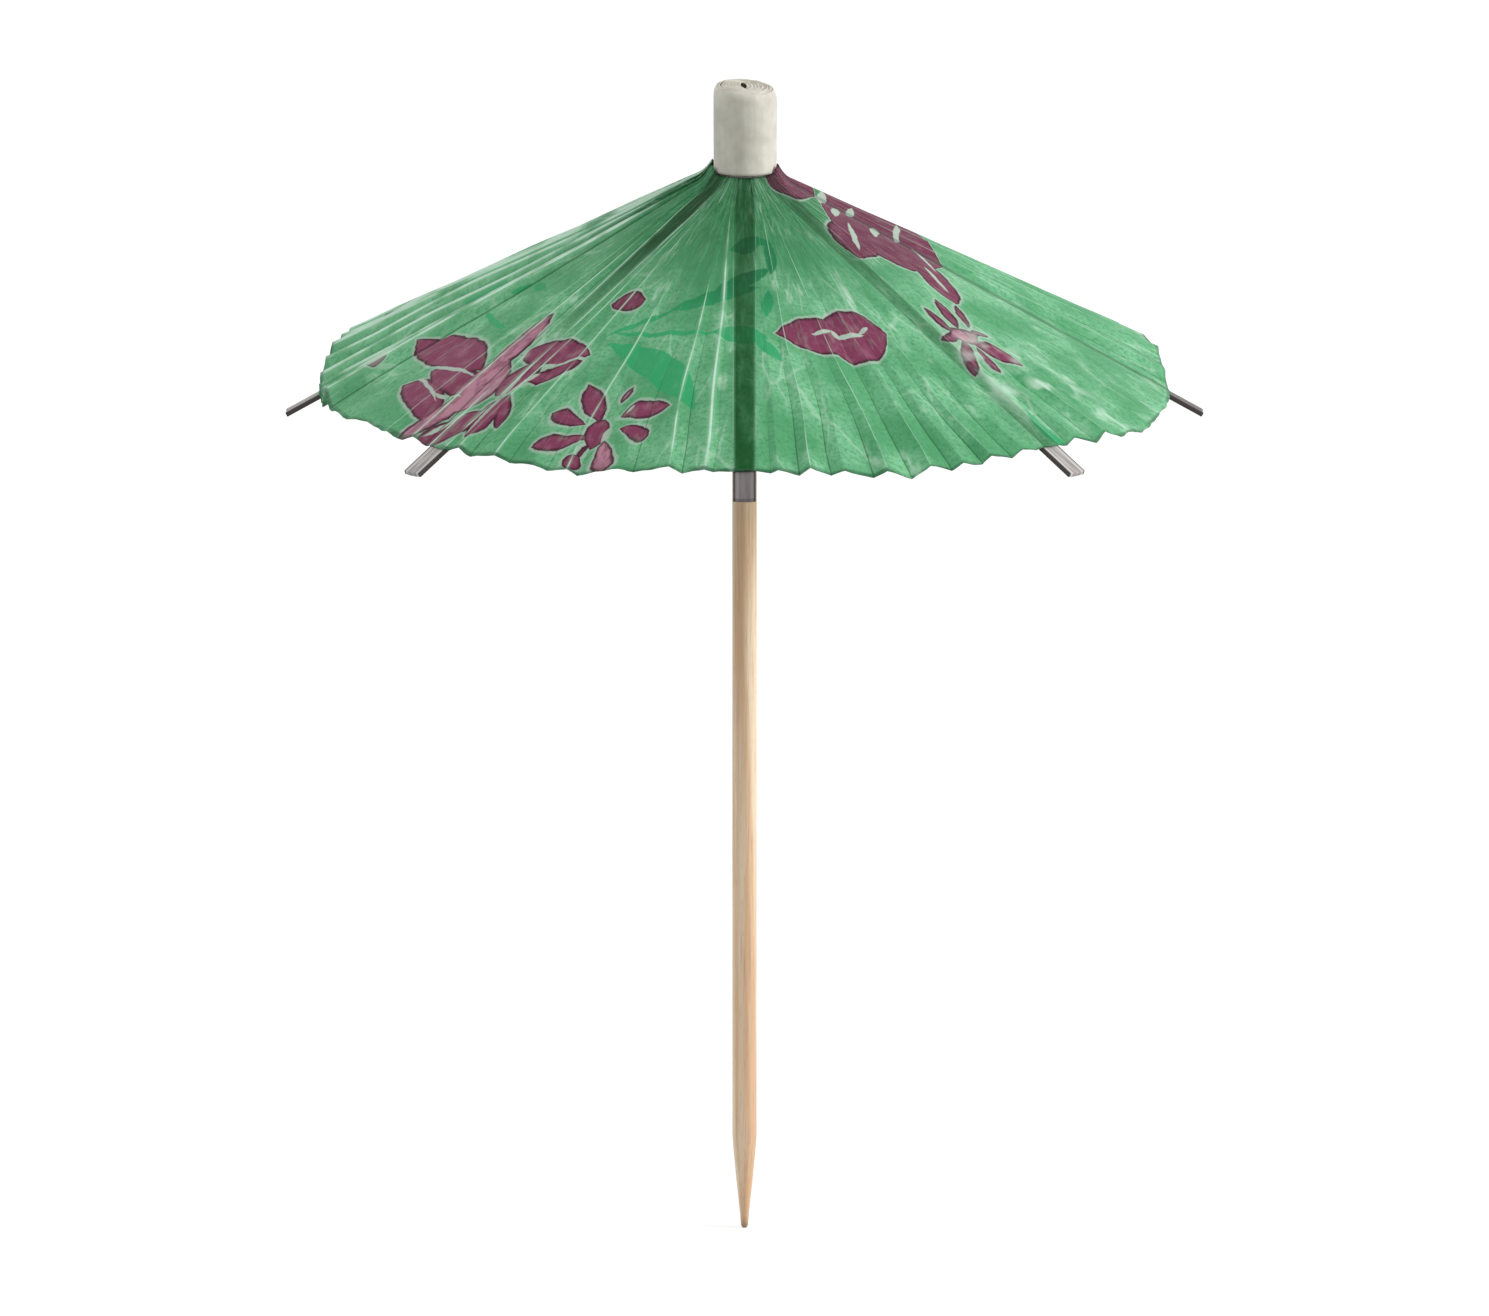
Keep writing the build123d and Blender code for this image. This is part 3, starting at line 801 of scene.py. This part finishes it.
# Gaps between two ribs, from the front rib anticlockwise. Ridges are (share of the gap, height at the rim,
# brightness of the painted highlight on the fold). Lean moves each valley towards the next ridge, billow
# lifts the paper near the stick and at the rim, growth says how fast the folds deepen outwards, and crisp how
# dark the painted shade in the valleys is.
# Closed is the share of a flap's width that is left when the ribs are folded down.
gores = [
    {"ridges": [(0.06, 0.35, 0.0), (0.17, 0.75, 0.3), (0.28, 0.4, 0.0), (0.41, 0.65, 0.3), (0.58, 0.8, 0.2),
                (0.68, 0.45, 0.0), (0.78, 0.65, 0.2), (0.92, 0.4, 0.0)],
     "lean": 0.14, "billow": (0.0, -0.4), "growth": 2.8, "crisp": 0.35, "closed": 0.105},
    {"ridges": [(0.08, 0.6, 0.0), (0.24, 0.8, 0.2), (0.42, 0.2, 0.0), (0.64, 0.1, 0.0), (0.86, 0.1, 0.0)],
     "lean": 0.1, "billow": (0.3, -0.3), "growth": 2.6, "crisp": 0.25, "closed": 0.135},
    {"ridges": [(0.1, 0.5, 0.3), (0.27, 0.5, 0.4), (0.42, 0.4, 0.3), (0.6, 0.6, 0.4), (0.75, 0.5, 0.5),
                (0.9, 0.5, 0.3)],
     "lean": -0.1, "billow": (0.0, 3.1), "growth": 1.6, "crisp": 0.5, "closed": 0.19},
    {"ridges": [(0.07, 0.5, 0.3), (0.2, 0.6, 0.4), (0.33, 0.5, 0.6), (0.44, 0.7, 0.3), (0.57, 0.6, 0.5),
                (0.7, 0.5, 0.2), (0.83, 0.7, 0.5), (0.94, 0.4, 0.2)],
     "lean": 0.12, "billow": (0.2, 0.2), "growth": 1.4, "crisp": 0.6, "closed": 0.11},
    {"ridges": [(0.09, 0.6, 0.5), (0.22, 0.7, 0.7), (0.36, 0.5, 0.4), (0.45, 0.8, 0.7), (0.58, 0.6, 0.8),
                (0.72, 0.8, 0.6), (0.84, 0.9, 0.8), (0.94, 0.6, 0.7)],
     "lean": -0.12, "billow": (0.4, 0.9), "growth": 0.9, "crisp": 0.8, "closed": 0.13},
    {"ridges": [(0.1, 0.6, 0.6), (0.24, 0.8, 0.7), (0.38, 1.0, 0.8), (0.47, 1.1, 0.8), (0.56, 1.5, 0.9),
                (0.65, 1.7, 1.0), (0.74, 1.7, 1.0), (0.83, 1.6, 1.0), (0.93, 1.3, 1.0)],
     "lean": 0.16, "billow": (0.4, 2.5), "growth": 0.6, "crisp": 1.0, "closed": 0.155},
    {"ridges": [(0.05, 1.4, 1.0), (0.12, 1.6, 1.0), (0.2, 1.5, 1.2), (0.37, 0.06, 0.0), (0.63, 0.06, 0.0),
                (0.78, 0.12, 0.3), (0.9, 0.5, 0.6)],
     "lean": 0.16, "billow": (0.3, 0.8), "growth": 0.6, "crisp": 1.0, "closed": 0.155},
    {"ridges": [(0.07, 0.5, 0.5), (0.2, 0.5, 0.5), (0.33, 0.2, 0.0), (0.45, 0.4, 0.5), (0.62, 0.3, 0.0),
                (0.79, 0.55, 0.6), (0.92, 0.4, 0.75)],
     "lean": -0.12, "billow": (0.0, -0.2), "growth": 1.6, "crisp": 0.3, "closed": 0.11},
]
# How dark the painted shadow of each rib is through the tissue near the stick and at the rim, with some glue
# darkening, and how bright the painted highlight along its edges is
ribShadowAndShine = [(0.75, 1.0, 0.25), (0.6, 0.6, 0.2), (0.5, 0.5, 0.4), (0.6, 0.6, 0.4), (0.6, 0.6, 0.5),
             (0.6, 0.5, 0.7), (0.5, 0.4, 0.8), (1.0, 0.0, 0.9)]
ribTopRise = ribShape["thickness"] / 2 / math.cos(slope)
paperRise = canopyShape["restGap"] + canopyShape["thickness"] / 2 / math.cos(slope)
apexHeight = hingeHeight + hingeRadius * math.tan(slope) + ribTopRise + paperRise


def foldsOf(gore):
    # (share, height at the rim, is it a ridge, shine) from rib to rib. Flaps meet in the valley half way.
    ends = [(0.0, 0.0, 0.0)] + gore["ridges"] + [(1.0, 0.0, 0.0)]
    folds = [(0.0, 0.0, True, 0.0)]
    for before, (share, height, shine) in zip(ends, ends[1:]):
        middle = 0.5 if before[0] < 0.5 < share else mixed(before[0], share, 0.5 + gore["lean"])
        folds.append((middle, -canopyShape["valleyDepth"] * (before[1] + height), False, 0.0))
        folds.append((share, canopyShape["ridgeRise"] * height, True, shine))
    return folds


allFolds = [foldsOf(gore) for gore in gores]
seamFolds = [[fold[0] for fold in folds].index(0.5) for folds in allFolds]


def stripHalfAt(radius):
    shape = canopyShape
    full = between(shape["tuckedRadius"], shape["stripFull"], radius)
    return mixed(shape["stripRoot"], shape["stripHalf"], full)


def foldHeight(gore, fold, radius):
    height = allFolds[gore][fold][1]
    drift = 1 + canopyShape["foldDrift"] * noise.noise(Vector((radius / 9, gore * 3.1 + fold * 0.7, 5)))
    return height * drift * (radius / paperRim) ** gores[gore]["growth"]


def foldPlace(gore, fold, radius):
    # folds wander a little on their way out, but not the ones at the ribs and between two flaps
    place = allFolds[gore][fold][0]
    if place in (0.0, 0.5, 1.0):
        return place
    wander = canopyShape["foldWander"] * noise.noise(Vector((radius / 11, gore * 2.3 + place * 4, 8)))
    return place + wander * radius / paperRim


def billowAt(gore, share, radius):
    near, far = gores[gore]["billow"]
    return mixed(near, far, radius / paperRim) * math.sin(math.pi * share)


def lipHeight(azimuth):
    # the paper climbs the foot of the cap on the left and right
    shape = canopyShape
    ragged = noise.noise(Vector((math.cos(azimuth) * 7, math.sin(azimuth) * 7, 2)))
    return shape["lipLeast"] + (shape["lipRise"] + shape["lipUneven"] * ragged) * math.cos(azimuth) ** 2


def rimAt(azimuth):
    shape = canopyShape
    fine = noise.noise(Vector((math.cos(azimuth) * 26, math.sin(azimuth) * 26, 9)))
    broad = noise.noise(Vector((math.cos(azimuth) * 6, math.sin(azimuth) * 6, 4)))
    return paperRim - shape["rimTrim"] + shape["rimRagged"] * fine + shape["rimWave"] * broad


def rowRadius(row, azimuth, lift):
    shape = canopyShape
    inner = mixed(shape["tuckedRadius"], shape["capFootRadius"], between(0.1, 0.35, lift))
    if row <= shape["lipRows"]:
        return mixed(inner, shape["lipEnd"], row / shape["lipRows"])
    return mixed(shape["lipEnd"], rimAt(azimuth), (row - shape["lipRows"]) / shape["rows"])


def wrinkle(x, y, radius):
    # small waves all over, and one crumpled place
    shape = canopyShape
    fine = shape["fineWrinkle"] * noise.noise(Vector((x / 2.6, y / 2.6, 7)))
    broad = shape["broadWrinkle"] * noise.noise(Vector((x / 8, y / 8, 3)))
    crumpleX, crumpleY = paperLook["crumple"][:2]
    crumple = math.exp(-((x - crumpleX) ** 2 + (y - crumpleY) ** 2) / shape["crumpleReach"] ** 2)
    buckle = shape["crumpleHeight"] * noise.noise(Vector((x / 1.3, y / 1.3, 1)))
    return (fine + broad) * radius / paperRim + crumple * buckle


def columnsOf(number, side):
    # across one sheet: (gore, fold before it, share of the way to the next fold, side of the rib)
    shape = canopyShape
    if side == 0:
        return [(None, None, step / shape["stripColumns"], 0) for step in range(shape["stripColumns"] + 1)]
    gore = number - 1 if side > 0 else (number - 2) % ribCount
    first, last = (0, seamFolds[gore]) if side > 0 else (seamFolds[gore], len(allFolds[gore]) - 1)
    steps = [step / shape["foldColumns"] for step in range(shape["foldColumns"])]
    columns = [(gore, fold, step, side) for fold in range(first, last) for step in steps]
    return columns + [(gore, last - 1, 1.0, side)]


def lineWidth(shine, radius, start):
    # width of the painted highlight along a ridge, which begins at a radius and widens outwards
    width = canopyShape["ridgeShineWidth"] * shine ** 2 * mixed(0.3, 1.0, radius / paperRim)
    return 0.002 + width * between(start, start + 5, radius)


def creaseDistances(gore, fold, share, width, radius):
    # distances to the ridge and to the valley beside it, as shares of the width of their painted highlight
    # and painted shade lines
    before, after = allFolds[gore][fold], allFolds[gore][fold + 1]
    fromRidge = share * width if before[2] else (1 - share) * width
    shine = before[3] if before[2] else after[3]
    depth = abs(before[1] - after[1]) * (radius / paperRim) ** gores[gore]["growth"]
    start = 8 + 12 * noise.noise(Vector((gore * 3.7, (fold + 1) // 2 * 1.9, 6)))
    shade = gores[gore]["crisp"] * min(canopyShape["valleyShadeWidth"], 0.6 * depth) * between(0.08, 0.3, depth)
    return fromRidge / lineWidth(shine, radius, start), (width - fromRidge) / (0.001 + shade)


def surfacePoint(column, row, number):
    # (x, y, z), offset from the rib's line with the darkness of its painted shadow, and distances to the
    # creases for their painted lines
    gore, fold, share, side = column
    azimuth = azimuths[number - 1]
    nearShadow, rimShadow, edgeShine = ribShadowAndShine[number - 1]
    shape = canopyShape
    nominal = rowRadius(row, azimuth, 1.0)
    strip = stripHalfAt(nominal)
    edgeAngle = math.asin(strip / nominal)
    if side == 0:
        turn = math.asin(strip * (2 * share - 1) / nominal)
        offset, lift = 0.0, lipHeight(azimuth + turn)
        creases = (strip - abs(strip * (2 * share - 1))) / lineWidth(edgeShine, nominal, 4.0), 9.0
    else:
        start, end = foldPlace(gore, fold, nominal), foldPlace(gore, fold + 1, nominal)
        place = mixed(start, end, share)
        free = 2 * (halfGore - edgeAngle)
        turn = edgeAngle + place * free if side > 0 else -edgeAngle - (1 - place) * free
        offset = mixed(foldHeight(gore, fold, nominal), foldHeight(gore, fold + 1, nominal), share)
        offset += billowAt(gore, place, nominal)
        lift = lipHeight(azimuth + turn) + billowAt(gore, place, 0.0)
        width = (end - start) * free * nominal
        creases = creaseDistances(gore, fold, share, width, nominal)
    radius = rowRadius(row, azimuth + turn, lift)
    x, y = radius * math.cos(azimuth + turn), radius * math.sin(azimuth + turn)
    if side == 0:
        fallen = radius * math.cos(turn)
    else:
        fallen = radius * (math.cos(edgeAngle) + shape["sag"] * (1 / math.cos(abs(turn) - edgeAngle) - 1))
        offset += wrinkle(x, y, radius) * between(0, 0.02, abs(turn) - edgeAngle)
    lip = lipHeight(azimuth + turn) * (1 - between(shape["capFootRadius"], shape["lipEnd"], radius)) ** 2
    shadowShare = mixed(nearShadow, rimShadow, between(0.3, 0.65, radius / paperRim))
    height = apexHeight - fallen * math.tan(slope) + offset + lip
    return (x, y, height), (radius * math.sin(turn), shadowShare), creases


def makePaper(name, number, side):
    shape = canopyShape
    columns = columnsOf(number, side)
    work, address = gridSheet(shape["lipRows"] + shape["rows"] + 1, len(columns))
    layers = [work.loops.layers.uv.new(layer) for layer in ("paperFlat", "ribLines", "creaseShineShade")]
    maps = {}
    for vert, (row, column) in address.items():
        point, ribLine, creases = surfacePoint(columns[column], row, number)
        vert.co = point
        maps[vert] = point[:2], ribLine, creases
    for face in work.faces:
        for loop in face.loops:
            for layer, value in zip(layers, maps[loop.vert]):
                loop[layer].uv = value
    for edge in work.edges:
        first, second = (address[vert][1] for vert in edge.verts)
        edge.smooth = first != second or columns[first][2] not in (0.0, 1.0)
    faceOut(work, lambda place: Vector((0, 0, 1)))
    return finishPiece(name, work, f"rib_{number}", paperFinishes[number - 1],
                       f"canopy_panel_{number}")


def makeCanopy(number):
    shape = canopyShape
    strip = makePaper(f"paperStrip{number}", number, 0)
    thicken(strip, shape["thickness"])
    for side, name, onStrip in ((-1, f"paperFlap{number}a", [strip]), (1, f"paperFlap{number}b", [])):
        flap = makePaper(name, number, side)
        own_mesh(flap)
        thicken(flap, shape["thickness"])


makeStick()
print("stick made")
makeCap()
print("cap made")
for number in range(1, ribCount + 1):
    makeRib(number)
    makeCanopy(number)
print("ribs and paper made")

# The hidden pieces keep their solids and get finishes
solidFinishes = {"hub_band": cardFinish, "spacer_roll": fillerFinish, "runner": cardFinish,
                 "retaining_ring": ringFinish}
solidFinishes.update({f"strut_{number}": cardFinish for number in range(1, ribCount + 1)})
for node, finish in solidFinishes.items():
    for place in frame["nodes"][node].material_slots:
        place.link = "OBJECT"
        place.material = finish
print("solids finished:", len(solidFinishes))

# Floor, light and camera
stageShape = {
    "floorSize": 6.0,
    "floorColour": tint(188, 188, 188),
    "cameraFloor": 0.6,
    "cameraGlow": 0.56,
    "worldStrength": 0.62,
    "key": {"place": (0.86, -0.14, 0.33), "size": 0.45, "power": 5.6},
    "fill": {"place": (-0.75, 0.1, 0.6), "size": 0.7, "power": 1.6},
    "target": (0.0, 0.0, 0.05),
}


def makeFloor():
    work = bmesh.new()
    bmesh.ops.create_grid(work, x_segments=2, y_segments=2, size=stageShape["floorSize"])
    mesh = bpy.data.meshes.new("floor")
    work.to_mesh(mesh)
    work.free()
    material, tree, shader = newMaterial("paleFloor", 0.0)
    shader.inputs["Base Color"].default_value = stageShape["floorColour"]
    shader.inputs["Roughness"].default_value = 1.0
    # the camera sees a paler floor than the one that lights the object from below
    share = stageShape["cameraFloor"]
    plain = put(tree, "ShaderNodeBsdfDiffuse", {"Color": (share, share, share, 1.0)}).outputs[0]
    glow = put(tree, "ShaderNodeEmission", {"Strength": stageShape["cameraGlow"]}).outputs[0]
    pale = put(tree, "ShaderNodeAddShader", {0: plain, 1: glow}).outputs[0]
    path = put(tree, "ShaderNodeLightPath").outputs
    seen = calc(tree, "MAXIMUM", path["Is Camera Ray"], path["Is Glossy Ray"])
    both = put(tree, "ShaderNodeMixShader", {0: seen, 1: shader.outputs[0], 2: pale}).outputs[0]
    tree.links.new(both, tree.nodes["Material Output"].inputs["Surface"])
    mesh.materials.append(material)
    floor = bpy.data.objects.new("floor", mesh)
    scene.collection.objects.link(floor)


def makeLamp(name, place, size, power):
    lamp = bpy.data.lights.new(name, "AREA")
    lamp.shape = "DISK"
    lamp.size = size
    lamp.energy = power
    stand = bpy.data.objects.new(name, lamp)
    stand.location = place
    stand.rotation_euler = (Vector(stageShape["target"]) - Vector(place)).to_track_quat("-Z", "Y").to_euler()
    scene.collection.objects.link(stand)


def lightWorld():
    world = bpy.data.worlds.new("studio")
    world.use_nodes = True
    background = world.node_tree.nodes["Background"]
    background.inputs["Color"].default_value = (1.0, 1.0, 1.0, 1.0)
    # white where it is seen, straight or mirrored, and dimmer where it lights the object
    path = put(world.node_tree, "ShaderNodeLightPath").outputs
    seen = calc(world.node_tree, "MAXIMUM", path["Is Camera Ray"], path["Is Glossy Ray"])
    seen = calc(world.node_tree, "MAXIMUM", seen, path["Is Transmission Ray"])
    strength = rise(world.node_tree, seen, 0.0, 1.0, stageShape["worldStrength"], 1.0)
    world.node_tree.links.new(strength, background.inputs["Strength"])
    scene.world = world


cameraShape = {
    "elevation": 11.7,
    "lens": 300.0,
    "sensor": 36.0,
    "imageSize": (1489, 1316),
    "heightShare": 0.87,
    "aim": (0.0, 0.0, 0.0502),
}


def makeCamera():
    shape = cameraShape
    wide, high = shape["imageSize"]
    tilt = math.radians(shape["elevation"])
    frameHeight = cadHigh.z * math.cos(tilt) / shape["heightShare"]
    distance = frameHeight * shape["lens"] / (shape["sensor"] * high / wide)
    back = Vector((0, -math.cos(tilt), math.sin(tilt)))
    lens = bpy.data.cameras.new("camera")
    lens.lens = shape["lens"]
    lens.sensor_width = shape["sensor"]
    lens.clip_end = 20.0
    camera = bpy.data.objects.new("camera", lens)
    camera.location = Vector(shape["aim"]) + back * distance
    camera.rotation_euler = (-back).to_track_quat("-Z", "Y").to_euler()
    scene.collection.objects.link(camera)
    scene.camera = camera


makeFloor()
makeLamp("key", **stageShape["key"])
makeLamp("fill", **stageShape["fill"])
lightWorld()
makeCamera()
scene.view_settings.view_transform = "Standard"
print("stage set")
